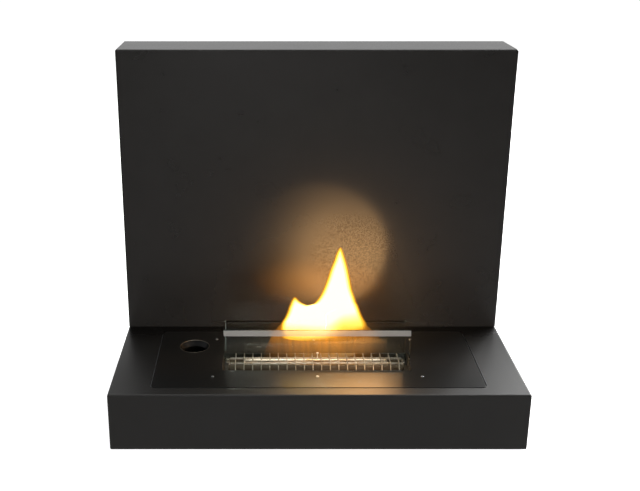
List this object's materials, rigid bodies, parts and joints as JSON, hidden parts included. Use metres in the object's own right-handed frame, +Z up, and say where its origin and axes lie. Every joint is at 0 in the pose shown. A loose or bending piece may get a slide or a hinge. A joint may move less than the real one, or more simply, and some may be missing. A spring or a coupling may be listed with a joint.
{
  "type": "bioethanol fireplace",
  "caption": "Freestanding bioethanol fireplace: low black steel base, lift-out slot burner with wire guard between glass panes, and a tall back panel.",
  "frame": {"origin": "on the floor under the middle of the outline", "axes": "+Z up, -Y towards someone who faces the fire, +X to their right"},
  "size_m": [0.6, 0.328, 0.54],
  "materials": {
    "casing_black": "satin black powder coat",
    "burner_black": "heat-proof satin black enamel",
    "stainless": "bright folded stainless sheet",
    "wire_steel": "bright drawn stainless wire",
    "zinc_steel": "zinc-plated steel",
    "rubber": "matte",
    "ceramic_fibre": "matte ceramic-fibre wool, a little sooted",
    "clear_glass": "clear toughened glass with polished edges"
  },
  "bodies": {
    "housing": {"base_shell": "casing_black", "base_floor": "casing_black", "floor_screws": "zinc_steel", "rubber_feet": "rubber", "foot_screws": "zinc_steel", "back_panel_shell": "casing_black", "panel_stiffeners": "zinc_steel", "rear_cover": "casing_black", "cover_screws": "zinc_steel", "panel_bolts": "zinc_steel", "panel_nuts": "zinc_steel", "insert_rails": "zinc_steel"},
    "burner_unit": {"burner_plate": "burner_black", "trough_tray": "burner_black", "plate_screws": "zinc_steel", "front_glass_channel": "stainless", "rear_glass_channel": "stainless", "slot_box": "burner_black", "wick_collar": "stainless", "ceramic_wool": "ceramic_fibre", "tank_lid": "stainless", "tank_tub": "stainless", "tank_studs": "zinc_steel", "tank_spacers": "stainless", "tank_nuts": "zinc_steel", "filler_cup": "burner_black", "filler_neck": "stainless", "filler_strainer": "stainless"},
    "wire_guard": {"guard_rods": "wire_steel", "guard_wires": "wire_steel"},
    "front_pane": {"front_glass": "clear_glass"},
    "rear_pane": {"rear_glass": "clear_glass"}
  },
  "joints": [
    {"name": "burner_lift", "type": "slide", "parent": "housing", "child": "burner_unit", "axis": [0, 0, 1], "range_m": [0, 0.1]},
    {"name": "guard_lift", "type": "slide", "parent": "burner_unit", "child": "wire_guard", "axis": [0, 0, 1], "range_m": [0, 0.08]},
    {"name": "front_pane_lift", "type": "slide", "parent": "burner_unit", "child": "front_pane", "axis": [0, 0, 1], "range_m": [0, 0.08]},
    {"name": "rear_pane_lift", "type": "slide", "parent": "burner_unit", "child": "rear_pane", "axis": [0, 0, 1], "range_m": [0, 0.08]}
  ]
}
